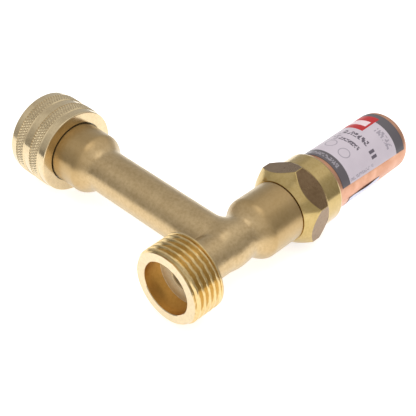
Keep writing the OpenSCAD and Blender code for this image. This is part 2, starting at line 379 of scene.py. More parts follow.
def cartridge_thread_shape(minor, major, low, high):
    """The thread between the adaptor and the socket, from a minor to a major radius."""
    def shape(radii, at, angles):
        wave = thread_wave(at / CARTRIDGE_PITCH + angles / FULL_TURN, 0.12, 0.12)
        fade = smoothstep(low, low + 0.4, at) * smoothstep(high, high - 0.4, at)
        threaded = minor + (major - minor) * wave * fade
        return np.where(np.abs(radii - minor) < 1e-6, threaded, radii), at
    return shape


def run_cutter():
    """Everything that is bored or faced away along the run."""
    floor = socket_mouth_y - SOCKET_DEPTH
    seat = socket_mouth_y - SEAT_DEPTH
    edge = SOCKET_R - 0.3
    thread = [[CART_MINOR_R, y] for y in stations(floor, seat, THREAD_STEP)]
    profile = [[0, -1], [recess_r + 1.2, -1], [recess_r, 0.2], [recess_r, recess_depth - 0.1],
               [recess_r - 0.1, recess_depth], [RUN_BORE_R + 0.25, recess_depth],
               [RUN_BORE_R, recess_depth + 0.25], [RUN_BORE_R, floor]] + thread + [
               [SEAT_R, seat], [SEAT_R, socket_mouth_y], [edge, socket_mouth_y],
               [edge + 2.5, socket_mouth_y - 2.5],
               [edge + 2.5, socket_mouth_y + 3], [0, socket_mouth_y + 3]]
    shape = cartridge_thread_shape(CART_MINOR_R, CART_MAJOR_R, floor, seat)
    return turned("run_cutter", profile, on_run, False, 144, shape)


def branch_cutter():
    """The inlet passage, its flared mouth and the tailpiece's faced end."""
    edge = TAIL_R - 0.4
    profile = [[0, 0], [BRANCH_BORE_R, 0], [BRANCH_BORE_R, tail_end - MOUTH_FLARE[0]],
               [MOUTH_R, tail_end - MOUTH_FLARE[1]], [MOUTH_R, tail_end],
               [edge, tail_end], [edge + 2.5, tail_end - 2.5],
               [edge + 2.5, tail_end + 3], [0, tail_end + 3]]
    return turned("branch_cutter", profile, on_branch, False)


def ring_groove_cutter():
    """The groove in the tailpiece for the wire ring."""
    low, high = RING_STATION - RING_GROOVE_HALF, RING_STATION + RING_GROOVE_HALF
    floor = TAIL_R - RING_GROOVE_DEPTH
    profile = [[floor, low], [TAIL_R + 1, low], [TAIL_R + 1, high], [floor, high]]
    return turned("ring_groove", profile, on_branch)


CAST, FACED, THREADED, BORED, CORED = range(5)      # finishes of the tee, in the order of its materials


def tee_finish(x, y, z):
    """Which finish the tee has at a point on its surface."""
    about_run, about_branch = math.hypot(x, z), math.hypot(y - branch_y, z)
    if y < OUTLET_LEN - 0.3 and about_run > recess_r + 0.1:
        return FACED if y < 0.4 else THREADED
    if y < recess_depth - 0.2 and about_run > recess_r - 0.4:
        return BORED
    if y < recess_depth + 0.1 or about_run < RUN_BORE_R + 0.05:
        return CORED
    if y > socket_mouth_y - 14 and about_run < SOCKET_R - 1:
        return BORED
    if -x > tail_end - 1:
        return FACED
    return CORED if about_branch < MOUTH_R and -x > 0 else CAST


def make_tee():
    low = (-tail_end - FIELD_MARGIN, OUTLET_LEN - HIDDEN - FIELD_MARGIN, -TAIL_R - FIELD_MARGIN)
    high = (BRANCH_R + 4, socket_mouth_y + 1 + FIELD_MARGIN, TAIL_R + FIELD_MARGIN)
    tee = field_mesh("tee", cast_field, low, high, FIELD_STEP)
    boolean(tee, threaded_end(), "UNION")
    boolean(tee, run_cutter(), "DIFFERENCE")
    boolean(tee, branch_cutter(), "DIFFERENCE")
    boolean(tee, ring_groove_cutter(), "DIFFERENCE")
    tee.data.materials.clear()
    for face in tee.data.polygons:
        face.material_index = tee_finish(*(face.center / MM))
    finish_mesh(tee)
    return tee


# Swivel nut, its ring and its washer.

NUT_LOW_R = nut_r - 0.35
NUT_BORE_R = TAIL_R + 0.4
INLET_ROOT_R = 13.6
KNURLS = ((nut_start + 2.9, nut_start + 7.6), (nut_start + 10.5, nut_start + 14.8))
KNURL_LINES = 92
KNURL_COLUMNS = 7               # columns of the mesh to a line of the knurl
KNURL_DEPTH = 0.28
KNURL_HELIX = math.radians(30)
KNURL_STEP = 0.17
WASHER_LEDGE = tail_end + 0.1
WASHER_POCKET = 2.7
RING_SWEEP = 336                # degrees of wire: the rest is the split


def nut_shape(radii, at, angles):
    """Diamond knurl in the bands at the full radius, and a right-hand thread at the crest radius inside."""
    lead = at * math.tan(KNURL_HELIX) / (FULL_TURN * nut_r)
    turn = angles / FULL_TURN
    cut = knurl_wave(KNURL_LINES * (turn + lead), KNURL_LINES * (turn - lead))
    knurled = nut_r - KNURL_DEPTH * smoothstep(0.25, 1.0, cut)
    wave = thread_wave(at / HOSE_PITCH + turn, 0.16, 0.2)
    fade = smoothstep(nut_end - 1.4, nut_end - 2.2, at)
    threaded = inlet_crest_r + (INLET_ROOT_R - inlet_crest_r) * wave * fade
    radii = np.where(radii > nut_r - 0.01, knurled, radii)
    return np.where(np.abs(radii - inlet_crest_r) < 1e-6, threaded, radii), at


def make_nut():
    """The nut: two knurled bands between plain ones, the hose thread, and the groove for the wire ring."""
    back = [[NUT_BORE_R, nut_start], [NUT_LOW_R, nut_start], [NUT_LOW_R, KNURLS[0][0] - 0.1]]
    profile = rounded(back, 0.45, False)
    for start, end in KNURLS:
        profile += [[NUT_LOW_R, start], [nut_r - 0.05, start + 0.3]]
        profile += [[nut_r, s] for s in stations(start + 0.36, end - 0.36, KNURL_STEP)]
        profile += [[nut_r - 0.05, end - 0.3], [NUT_LOW_R, end]]
    mouth = [[NUT_LOW_R, KNURLS[1][1] + 0.1], [NUT_LOW_R, nut_end], [inlet_crest_r + 1, nut_end]]
    profile += rounded(mouth, 0.7, False)
    profile += [[inlet_crest_r, s] for s in stations(nut_end - 1.0, WASHER_LEDGE + 3.4, THREAD_STEP)]
    groove = RING_STATION - RING_GROOVE_HALF, RING_STATION + RING_GROOVE_HALF
    profile += [[INLET_ROOT_R, WASHER_LEDGE + WASHER_POCKET], [INLET_ROOT_R, WASHER_LEDGE],
                [NUT_BORE_R, WASHER_LEDGE],
                [NUT_BORE_R, groove[1]], [NUT_BORE_R + 1, groove[1]], [NUT_BORE_R + 1, groove[0]],
                [NUT_BORE_R, groove[0]]]
    return turned("nut", profile, on_branch, True, KNURL_LINES * KNURL_COLUMNS, nut_shape)


def make_wire_ring():
    """The split ring, with its two cut ends."""
    wire_r = (ring_high[0] - ring_low[0]) / 2
    centre_r = ring_high[2] - wire_r
    angles = np.radians(np.linspace(0, RING_SWEEP, 120))
    grid = turned_grid(arc(centre_r, RING_STATION, wire_r, 0, 345, 23), on_branch, angles=angles)
    rows, columns = grid.shape[:2]
    faces = grid_faces(rows, columns, wrap_rows=True, wrap_columns=False)
    for j in (0, columns - 1):
        faces.append([i * columns + j for i in range(rows)])
    return mesh_object("wire_ring", grid.reshape(-1, 3), faces)


def make_washer():
    """The hose washer: soft rounded edges, and a shallow ridge round each face."""
    inner, outer = 7.95, (washer_high[2] - washer_low[2]) / 2
    low, high = -washer_high[0], -washer_low[0]
    ridge = (inner + outer) / 2
    profile = [[inner, low + 0.1], [ridge - 0.6, low + 0.1], [ridge, low],
               [ridge + 0.6, low + 0.1], [outer, low + 0.1],
               [outer, high - 0.1], [ridge + 0.6, high - 0.1], [ridge, high], [ridge - 0.6, high - 0.1],
               [inner, high - 0.1]]
    return turned("washer", rounded(profile, 0.3), on_branch)


# Arrester cartridge.

HEX_FLAT_R = 13.2
FLANGE_R = 11.3
HEX_FRONT_SLOPE = 0.8247
HEX_REAR_SLOPE = 0.885
EDGE = 0.07                     # half the width of the broken edge round each flat
FLANGE_Y = socket_mouth_y + 0.1
HEX_TIP_R = 15.34
HEX_REAR_Y = FLANGE_Y + 7.9
COLLAR_R = 12.95
COLLAR_Y = HEX_REAR_Y + (HEX_TIP_R - COLLAR_R) / HEX_REAR_SLOPE
CORNER_BREAK = 0.45             # degrees each side of a corner of the hexagon
ON_FLATS = 100                  # a radius that marks the eight rows at the edges of the flats


def off_flat(angles):
    """Angle from the middle of the nearest flat of the hexagon."""
    sixth = FULL_TURN / 6
    return (angles - hex_corner_turn) % sixth - sixth / 2


def hex_radius(angles):
    """Radius of the hexagon, with its corners slightly broken."""
    turn = np.minimum(np.abs(off_flat(angles)), FULL_TURN / 12 - math.radians(CORNER_BREAK))
    return HEX_FLAT_R / np.cos(turn)


def hex_angles():
    """Columns for the hexagon: even on the flats, and close together at the corners."""
    sixth = math.degrees(FULL_TURN / 6)
    near = [0, CORNER_BREAK, 1.3]
    side = near + list(np.linspace(3, sixth - 3, 25)) + [sixth - x for x in near[:0:-1]]
    side = np.radians(np.array(side)) + hex_corner_turn
    return np.concatenate([side + k * FULL_TURN / 6 for k in range(6)])


def adaptor_profile():
    """The profile. The eight rows at the edges of the flats have stations 0 to 7, which stand for places."""
    spigot = socket_mouth_y - 8.9
    thread_end = FLANGE_Y - 2.2
    root = CART_MINOR_R - 0.06
    slot_r, bead_room, stub_r, stub_bore = 11.2, 11.71, 10.0, 7.6
    slot_floor, stub_end, end = FLANGE_Y + 8.9, adaptor_high[1] - 0.4, adaptor_high[1]
    seal_y, seal_half, seal_floor = stub_end - 3.5, 0.79, 8.76
    profile = [[6.0, spigot], [root - 0.4, spigot], [root, spigot + 0.4]]
    profile += [[root, y] for y in stations(spigot + 0.6, thread_end, THREAD_STEP)]
    profile += [[root - 0.001, FLANGE_Y]] + [[FLANGE_R - 0.1, FLANGE_Y], [FLANGE_R, FLANGE_Y + 0.06]]
    profile += [[ON_FLATS, k] for k in range(8)]
    collar = [[COLLAR_R + 0.3, COLLAR_Y - 0.3], [COLLAR_R, COLLAR_Y], [COLLAR_R, end - 1.2],
              [COLLAR_R - 0.3, end - 0.5],
              [COLLAR_R - 1.0, end], [slot_r, end], [slot_r, slot_floor + 2.4]]
    profile += rounded(collar, 0.5, False)
    profile += [[bead_room, slot_floor + 1.8], [bead_room, slot_floor], [stub_r, slot_floor]]
    profile += [[stub_r, seal_y - seal_half], [seal_floor, seal_y - seal_half],
                [seal_floor, seal_y + seal_half],
                [stub_r, seal_y + seal_half], [stub_r, stub_end], [stub_bore, stub_end],
                [stub_bore, slot_floor + 2], [6.0, slot_floor]]
    return profile


def adaptor_shape(radii, at, angles):
    """Cartridge thread on the spigot, and the edges of the flats where the cones cut the hexagon."""
    root = CART_MINOR_R - 0.06
    if radii[0] == ON_FLATS:
        flat = hex_radius(angles)
        front = FLANGE_Y + (flat - FLANGE_R) / HEX_FRONT_SLOPE
        rear = HEX_REAR_Y + (HEX_TIP_R - flat) / HEX_REAR_SLOPE
        row = int(at[0])
        offset = (-3, -1, 1, 3, -3, -1, 1, 3)[row] * EDGE
        station = (front if row < 4 else rear) + offset
        on_cone = np.where(row < 4, flat + HEX_FRONT_SLOPE * offset, flat - HEX_REAR_SLOPE * offset)
        return (on_cone if row in (0, 1, 6, 7) else flat), station
    shape = cartridge_thread_shape(root, CART_MAJOR_R - 0.06, socket_mouth_y - 8.2, FLANGE_Y - 2.3)
    return shape(radii, at, angles)


def make_adaptor():
    """The adaptor, with its six flats as the second material: a darker brass that is painted reflection,
    standing in for the dark surroundings that the flats mirror.
    """
    adaptor = turned("adaptor", adaptor_profile(), on_run, angles=hex_angles(), shape=adaptor_shape,
                     smooth_angle=29)
    for face in adaptor.data.polygons:
        points = np.array([adaptor.data.vertices[v].co for v in face.vertices]) / MM
        reach = np.hypot(points[:, 0], points[:, 2])
        turn = off_flat(np.arctan2(points[:, 2], points[:, 0]))
        between = (points[:, 1] > FLANGE_Y + 1) & (points[:, 1] < COLLAR_Y)
        face.material_index = int(between.all() and np.abs(reach * np.cos(turn) - HEX_FLAT_R).max() < 0.02)
    return adaptor


def make_chamber():
    """The drawn copper tube with its closed, domed end and the bead on its open end."""
    outer, wall, corner = 11.11, 1.0, 3.2
    inner, bead = outer - wall, outer + 0.5
    start, end = chamber_low[1], chamber_high[1]
    crown = 0.25                # the closed end is a little domed
    profile = [[inner, start], [bead, start], [bead, start + 1.4], [outer, start + 2.0]]
    profile += [[outer, y] for y in stations(start + 4, end - corner - 1, 4)]
    profile += arc(outer - corner, end - crown - corner, corner, 0, 84, 14)
    profile += [[4, end - 0.04], [0, end], [0, end - wall], [4, end - wall - 0.04]]
    profile += arc(outer - corner, end - crown - corner, corner - wall, 84, 0, 10)
    return turned("gas_chamber", profile, on_run, True, 160, smooth_angle=40)


def make_piston():
    """Moulded piston: a cup with two seal grooves."""
    skin, groove_floor, half = 10.05, 8.6, 0.88
    low, high = piston_low[1], piston_high[1]
    front, rear = low + 2.9, high - 2.9
    profile = [[0, low], [skin, low]]
    for centre in (front, rear):
        profile += [[skin, centre - half], [groove_floor, centre - half], [groove_floor, centre + half],
                    [skin, centre + half]]
    profile += [[skin, high], [6.4, high], [6.4, low + 5.0], [5.4, low + 4.5], [0, low + 4.5]]
    return turned("piston_cup", rounded(profile, 0.3, False), on_run, False)


def make_o_ring(name, low, high):
    """An O-ring with the fine flash line that its mould leaves."""
    cord = (high[1] - low[1]) / 2
    outer, centre = high[2], (low[1] + high[1]) / 2
    return turned(name, arc(outer - cord, centre, cord, 0, 352.5, 47), on_run, True, 120)


# Printed films. A film's UVs are its own arc length and its length along the run, in metres.

FILM_R = 11.12
FILM_GRID = (90, 40)            # points across and along a film


def make_film(name, low_y, high_y, start_angle, end_angle, thickness, lift=None):
    """A thin film wrapped round the chamber. Its two edges' angles depend on the station,
    and lift(angles, station) raises it."""
    across, along = FILM_GRID
    ys = np.linspace(low_y, high_y, along)
    share = np.linspace(0, 1, across)
    points, uvs = [], []
    for side in (thickness, 0):
        for y in ys:
            angles = start_angle(y) + (end_angle(y) - start_angle(y)) * share
            raised = lift(angles, y) if lift else 0
            radius = FILM_R + side + raised
            points += list(zip(radius * np.cos(angles), np.full(across, y), radius * np.sin(angles)))
            uvs += list(zip(angles * FILM_R * MM, np.full(across, y * MM)))
    size = along * across
    faces = grid_faces(along, across, wrap_columns=False)
    faces += [tuple(size + v for v in face[::-1]) for face in faces]
    rim = [j for j in range(across)] + [i * across + across - 1 for i in range(1, along)]
    rim += [size - 1 - j for j in range(1, across)] + [i * across for i in range(along - 2, 0, -1)]
    faces += [(a, a + size, b + size, b) for a, b in zip(rim, rim[1:] + rim[:1])]
    film = mesh_object(name, points, faces)
    layer = film.data.uv_layers.new(name="film")
    for loop in film.data.loops:
        layer.data[loop.index].uv = uvs[loop.vertex_index]
    return film


def make_main_label():
    """The large label, wound on slightly askew."""
    low, high = label_low[1], label_high[1]

    def edge(y):
        return math.radians(20.0 - 6.0 * (y - low) / (high - low))

    return make_film("main_film", low, high, edge, lambda y: edge(y) + math.radians(181), 0.11)


def make_code_label():
    """The small sticker, with its upper edge lifting off."""
    low, high = code_low[1], code_high[1]
    top, bottom = math.radians(-10.5), math.radians(-97)

    def lift(angles, y):
        loose = smoothstep(math.radians(-34), top, angles)
        return 0.42 * loose ** 2 * (0.6 + 0.4 * math.sin(0.45 * y))

    return make_film("code_film", low, high, lambda y: bottom, lambda y: top, 0.1, lift)


# Materials.

class Surface:
    """A node material under construction."""

    def __init__(self, name):
        self.material = bpy.data.materials.new(name)
        self.material.use_nodes = True
        self.tree = self.material.node_tree
        self.shader = self.tree.nodes["Principled BSDF"]
        self.places = self.node("ShaderNodeTexCoord")

    def node(self, kind, **settings):
        made = self.tree.nodes.new(kind)
        for key, value in settings.items():
            setattr(made, key, value)
        return made

    def put(self, socket, value):
        """Links an output, or sets a number or colour."""
        if isinstance(value, bpy.types.NodeSocket):
            self.tree.links.new(value, socket)
        else:
            socket.default_value = value

    def set(self, **values):
        """Sets or links the shader's own sockets, named with underscores for spaces."""
        for name, value in values.items():
            self.put(self.shader.inputs[name.replace("_", " ")], value)

    def math(self, operation, a, b=0.0, c=0.0):
        node = self.node("ShaderNodeMath", operation=operation)
        for socket, value in zip(node.inputs, (a, b, c)):
            self.put(socket, value)
        return node.outputs[0]

    def mix(self, share, low, high):
        """A blend of two colours, from low where share is 0 to high where it is 1."""
        node = self.node("ShaderNodeMix", data_type="RGBA")
        self.put(node.inputs["Factor"], share)
        self.put(node.inputs[6], low)
        self.put(node.inputs[7], high)
        return node.outputs[2]

    def span(self, value, low, high, to_low=0.0, to_high=1.0):
        """Maps a range of a value onto another, clamped, with soft ends."""
        node = self.node("ShaderNodeMapRange", interpolation_type="SMOOTHSTEP")
        for socket, number in zip(node.inputs, (value, low, high, to_low, to_high)):
            self.put(socket, number)
        return node.outputs[0]

    def noise(self, size_mm, detail=3.0, roughness=0.55, stretch=(1, 1, 1), seed=0.0):
        """Noise whose features are about size_mm across, stretched along the axes. Runs from 0 to 1."""
        mapping = self.node("ShaderNodeMapping")
        self.put(mapping.inputs["Vector"], self.places.outputs["Object"])
        mapping.inputs["Scale"].default_value = [1 / s for s in stretch]
        mapping.inputs["Location"].default_value = (seed, seed * 0.7, seed * 1.3)
        noise = self.node("ShaderNodeTexNoise")
        self.put(noise.inputs["Vector"], mapping.outputs[0])
        noise.inputs["Scale"].default_value = 1 / (size_mm * MM)
        noise.inputs["Detail"].default_value = detail
        noise.inputs["Roughness"].default_value = roughness
        return noise.outputs[0]

    def bump(self, height, depth_mm):
        """Raises the surface by up to depth_mm where height is 1."""
        bump = self.node("ShaderNodeBump")
        bump.inputs["Strength"].default_value = 1.0
        bump.inputs["Distance"].default_value = depth_mm * MM
        self.put(bump.inputs["Height"], height)
        self.set(Normal=bump.outputs[0])


def colour(red, green, blue):
    """A linear colour from 0-255 display values."""
    return [((c / 255 + 0.055) / 1.055) ** 2.4 if c > 10 else c / 3295 for c in (red, green, blue)] + [1.0]


# Colours: the light and dark tones of each material.

PAPER_LIGHT = colour(208, 198, 208)
PAPER_DARK = colour(196, 186, 197)
BAND_INK = colour(90, 85, 90)
BAND_MARK = colour(150, 144, 152)
DARK_INK = colour(96, 88, 100)
FAINT_INK = colour(160, 152, 164)
RED_INK = colour(184, 18, 26)
STRIPE_INK = colour(236, 214, 220)
COPPER_LIGHT = colour(214, 167, 141)
COPPER_DARK = colour(198, 146, 117)
CAST_LIGHT = colour(206, 182, 141)
CAST_DARK = colour(181, 155, 113)
# The next two are painted reflection: the paler colours that the cast and nut brass turn towards at glancing
# angles, standing in for the bright floor they mirror.
CAST_GLANCING_SHEEN = colour(188, 174, 142)
NUT_GLANCING_SHEEN = colour(212, 202, 178)
TARNISH = colour(172, 143, 95)
TURNED_LIGHT = colour(195, 172, 120)
TURNED_DARK = colour(179, 155, 99)
THREAD_LIGHT = colour(226, 201, 150)
THREAD_DARK = colour(206, 178, 121)
BORED_LIGHT = colour(236, 196, 124)
BORED_DARK = colour(218, 176, 104)
CORED_LIGHT = colour(240, 230, 206)
CORED_DARK = colour(222, 208, 180)
NUT_LIGHT = colour(221, 202, 165)
NUT_DARK = colour(204, 184, 147)
# Hex flats: painted reflection, a darker brown brass that stands in for the dark surroundings the flats
# mirror.
FLAT_REFLECTION_LIGHT = colour(142, 118, 90)
FLAT_REFLECTION_DARK = colour(122, 98, 72)


def swelled_ends(s):
    """1 on the tee's socket and tailpiece, which are a little darker than its tubes."""
    parts = s.node("ShaderNodeSeparateXYZ")
    s.put(parts.inputs[0], s.places.outputs["Object"])
    socket = s.span(parts.outputs[1], SOCKET_SWELL[0] * MM, SOCKET_SWELL[1] * MM)
    tail = s.span(parts.outputs[0], -NECK_SWELL[0] * MM, -NECK_SWELL[1] * MM)
    return s.math("MAXIMUM", socket, tail)


def brass(name, light, dark, rough, grain_mm, grain_depth, turned_marks=0.0, axis=1, tarnish=None,
          edge=None):
    """Brass with slow stains, a fine grain, and turning marks that follow the axis if asked.
    tarnish(surface) is where the brass has gone darker, and edge is a painted reflection: a paler colour
    towards glancing angles that stands in for the bright floor mirrored there."""
    s = Surface(name)
    stain = s.span(s.noise(9, 4, 0.6, seed=0.3), 0.3, 0.7)
    speckle = s.span(s.noise(1.1, 4, 0.7, seed=3.4), 0.3, 0.65)
    grain = s.noise(grain_mm, 4, 0.6, seed=1.7)
    shade = s.mix(s.math("MULTIPLY_ADD", stain, 0.4, s.math("MULTIPLY", speckle, 0.6)), dark, light)
    if tarnish:
        shade = s.mix(s.math("MULTIPLY", tarnish(s), 0.6), shade, TARNISH)
    if edge:
        # Painted reflection: the colour turns paler towards glancing angles, standing in for the bright
        # floor mirrored there.
        facing = s.node("ShaderNodeLayerWeight").outputs["Facing"]
        shade = s.mix(s.span(facing, 0.3, 0.9, 0, 0.6), shade, edge)
    s.set(Metallic=1.0, Base_Color=shade)
    s.set(Roughness=s.span(s.math("ADD", s.math("MULTIPLY", grain, 0.6), s.math("MULTIPLY", stain, 0.4)),
                           0.2, 0.8, rough - 0.05, rough + 0.05))
    height = grain
    if turned_marks:
        stretch = [30, 30, 30]
        stretch[axis] = 0.2
        rings = s.noise(0.9, 2, 0.5, stretch=stretch, seed=2.9)
        height = s.math("MULTIPLY_ADD", grain, 1 - turned_marks, s.math("MULTIPLY", rings, turned_marks))
    s.bump(height, grain_depth)
    return s.material


def make_rubber(name, rough, shade):
    s = Surface(name)
    bloom = s.span(s.noise(2.5, 4, 0.6, seed=4.1), 0.4, 0.75)
    s.set(Base_Color=s.mix(bloom, colour(shade, shade, shade), colour(shade + 14, shade + 14, shade + 16)))
    s.set(Roughness=s.span(bloom, 0, 1, rough - 0.06, rough + 0.08))
    s.bump(s.noise(0.25, 3, 0.6, seed=5.3), 0.01)
    return s.material


def make_copper():
    """Drawn copper: pink, with fine draw lines along the tube and a little tarnish."""
    s = Surface("copper")
    lines = s.noise(0.5, 3, 0.6, stretch=(1, 40, 1), seed=6.2)
    stain = s.span(s.noise(6, 4, 0.6, seed=7.7), 0.35, 0.7)
    s.set(Metallic=1.0, Base_Color=s.mix(stain, COPPER_DARK, COPPER_LIGHT))
    s.set(Roughness=s.span(lines, 0.25, 0.75, 0.30, 0.42))
    s.bump(lines, 0.012)
    return s.material


def make_wire():
    s = Surface("ring_wire")
    lines = s.noise(0.3, 3, 0.6, seed=8.4)
    s.set(Metallic=1.0, Base_Color=s.mix(lines, colour(120, 116, 108), colour(196, 192, 184)))
    s.set(Roughness=s.span(lines, 0.3, 0.7, 0.24, 0.38))
    s.bump(lines, 0.006)
    return s.material


def make_piston_plastic():
    s = Surface("piston_plastic")
    flow = s.noise(3.0, 4, 0.6, seed=9.6)
    s.set(Base_Color=s.mix(flow, colour(222, 217, 202), colour(240, 237, 228)), Roughness=0.42,
          Subsurface_Weight=0.1, Subsurface_Scale=0.002)
    s.bump(s.noise(0.2, 3, 0.6, seed=10.5), 0.006)
    return s.material


# Print on the films: only plain bars, rings and blocks, drawn from the film's UVs in millimetres.

class Print:
    """Ink on a film, built up one shape at a time over the paper colour."""

    def __init__(self, surface, paper):
        self.s = surface
        self.colour = paper
        uv = surface.node("ShaderNodeUVMap", uv_map="film")
        parts = surface.node("ShaderNodeSeparateXYZ")
        surface.put(parts.inputs[0], uv.outputs[0])
        self.across = surface.math("MULTIPLY", parts.outputs[0], 1 / MM)
        self.along = surface.math("MULTIPLY", parts.outputs[1], 1 / MM)

    def box(self, across, along):
        """1 inside the box. across and along are (low, high) in millimetres."""
        inside = [
            self.s.math("COMPARE", value, (low + high) / 2, (high - low) / 2)
            for value, (low, high) in ((self.across, across), (self.along, along))
        ]
        return self.s.math("MULTIPLY", *inside)

    def dashes(self, cell, seed, share):
        """Random short marks, as small print looks from a distance."""
        columns = self.s.math("FLOOR", self.s.math("DIVIDE", self.across, cell))
        rows = self.s.math("FLOOR", self.s.math("DIVIDE", self.along, cell * 1.3))
        at = self.s.node("ShaderNodeCombineXYZ")
        for socket, value in zip(at.inputs, (columns, rows, seed)):
            self.s.put(socket, value)
        marks = self.s.node("ShaderNodeTexWhiteNoise", noise_dimensions="3D")
        self.s.put(marks.inputs["Vector"], at.outputs[0])
        return self.s.math("LESS_THAN", marks.outputs["Value"], share)

    def ring(self, across, along, radius, width):
        """1 on a ring's line."""
        du = self.s.math("SUBTRACT", self.across, across)
        dv = self.s.math("SUBTRACT", self.along, along)
        reach = self.s.math("SQRT", self.s.math("MULTIPLY_ADD", du, du, self.s.math("MULTIPLY", dv, dv)))
        return self.s.math("COMPARE", reach, radius, width / 2)

    def ink(self, mask, shade):
        """Lays one ink over what is there, where mask is 1."""
        self.colour = self.s.mix(mask, self.colour, shade)


def film_arc(degrees):
    """Arc length along a film, in millimetres, at an angle about the run."""
    return math.radians(degrees) * FILM_R


def arcs(low, high):
    """Two angles as arc lengths."""
    return film_arc(low), film_arc(high)


def make_main_print():
    s = Surface("main_print")
    mottle = s.noise(5, 4, 0.6, seed=11.2)
    p = Print(s, s.mix(mottle, PAPER_DARK, PAPER_LIGHT))
    whole = arcs(0, 220)
    low, high = label_low[1], label_high[1]
    p.ink(p.box(whole, (low - 1, low + 4.0)), BAND_INK)
    band_print = p.box(arcs(57, 200), (low + 1.2, low + 2.9))
    p.ink(s.math("MULTIPLY", band_print, p.dashes(0.42, 1.0, 0.6)), BAND_MARK)
    p.ink(p.box(whole, (high - 4.5, high + 1)), BAND_INK)
    for angle, at in ((108.6, 83.8), (72.9, 82.4)):
        p.ink(p.ring(film_arc(angle), at, 2.1, 0.36), FAINT_INK)
    lines = (
        # angles, stations, size of mark, share inked, ink
        ((60, 116), (91.8, 94.2), 0.50, 0.50, DARK_INK),
        ((63, 107), (87.4, 89.2), 0.42, 0.62, DARK_INK),
        ((33, 76), (99.8, 102.6), 0.55, 0.46, FAINT_INK),
        ((110, 180), (86.0, 93.5), 0.55, 0.35, FAINT_INK),
        ((22, 28), (78.5, 91.0), 0.30, 0.50, FAINT_INK),
    )
    for number, (angles, at, cell, share, shade) in enumerate(lines):
        p.ink(s.math("MULTIPLY", p.box(arcs(*angles), at), p.dashes(cell, number + 3.5, share)), shade)
    for angles in ((44, 50), (34, 40)):
        p.ink(p.box(arcs(*angles), (91.3, 94.0)), DARK_INK)
    p.ink(p.box(arcs(89, 152), (96.4, 106.4)), RED_INK)
    p.ink(p.box(arcs(94, 148), (99.4, 102.8)), STRIPE_INK)
    s.set(Base_Color=p.colour, Roughness=s.span(mottle, 0.3, 0.7, 0.34, 0.46))
    s.bump(s.noise(1.4, 3, 0.5, seed=12.6), 0.01)
    return s.material


def make_code_print():
    s = Surface("code_print")
    mottle = s.noise(4, 3, 0.6, seed=13.4)
    p = Print(s, s.mix(mottle, colour(200, 203, 224), colour(216, 219, 236)))
    for number, at in enumerate(np.arange(code_low[1] + 2, code_high[1] - 2, 2.6)):
        rows = p.box(arcs(-88, -34), (float(at), float(at) + 1.1))
        p.ink(s.math("MULTIPLY", rows, p.dashes(0.45, number + 20.5, 0.5)), FAINT_INK)
    s.set(Base_Color=p.colour, Roughness=s.span(mottle, 0.3, 0.7, 0.36, 0.48))
    s.bump(s.noise(1.2, 3, 0.5, seed=14.2), 0.008)
    return s.material


# Assembly: every piece, the node it stands for, its body and its slot.

def place(piece, node, body, slot, *materials):
    """Gives a piece its materials and its body, and hides the CAD node that it replaces. Its slot is not
    used.
    """
    for material in materials:
        piece.data.materials.append(material)
    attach(piece, body)
    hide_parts(node)


def build_object():
    """Makes every piece with its materials."""
    cast = brass("cast_brass", CAST_LIGHT, CAST_DARK, 0.34, 0.35, 0.03, tarnish=swelled_ends, edge=CAST_GLANCING_SHEEN)
    thread_brass = brass("thread_brass", THREAD_LIGHT, THREAD_DARK, 0.18, 0.2, 0.004, 0.6, axis=1)
    bored_brass = brass("bored_brass", BORED_LIGHT, BORED_DARK, 0.34, 0.3, 0.006)
    cored_brass = brass("cored_brass", CORED_LIGHT, CORED_DARK, 0.70, 0.5, 0.03)
    nut_brass = brass("nut_brass", NUT_LIGHT, NUT_DARK, 0.17, 0.2, 0.004, 0.6, axis=0, edge=NUT_GLANCING_SHEEN)
    turned_brass = brass("turned_brass", TURNED_LIGHT, TURNED_DARK, 0.17, 0.2, 0.004, 0.6, axis=1)
    # The hex flats' brass is darkened to paint in the dark reflection of their surroundings.
    flat_brass_painted_reflection = brass("hex_flat_brass_painted_reflection", FLAT_REFLECTION_LIGHT, FLAT_REFLECTION_DARK, 0.28, 0.25, 0.006)
    seal = make_rubber("seal_rubber", 0.35, 22)

    place(make_tee(), "tee_body", "tee", "cast_brass", cast, nut_brass, thread_brass, bored_brass,
          cored_brass)
    place(make_nut(), "swivel_nut", "nut", "nut_brass", nut_brass)
    place(make_wire_ring(), "nut_retaining_ring", "tee", "ring_wire", make_wire())
    place(make_washer(), "inlet_washer", "nut", "washer_rubber", make_rubber("washer_rubber", 0.6, 34))
    place(make_adaptor(), "cartridge_adaptor", "tee", "turned_brass", turned_brass, flat_brass_painted_reflection)
    place(make_chamber(), "chamber", "tee", "copper", make_copper())
    place(make_piston(), "piston", "piston", "piston_plastic", make_piston_plastic())
    place(make_main_label(), "main_label", "tee", "main_print", make_main_print())
    place(make_code_label(), "code_label", "tee", "code_print", make_code_print())
    rings = (
        ("adaptor_seal", "adaptor_o_ring", "tee", adaptor_seal_low, adaptor_seal_high),
        ("chamber_seal", "chamber_o_ring", "tee", chamber_seal_low, chamber_seal_high),
        ("piston_seal_front", "piston_o_ring_front", "piston", front_seal_low, front_seal_high),
        ("piston_seal_rear", "piston_o_ring_rear", "piston", rear_seal_low, rear_seal_high),
    )
    for name, node, body, low, high in rings:
        place(make_o_ring(name, low, high), node, body, "seal_rubber", seal)


# Stage: camera, floor, light tent and fill light, in metres.

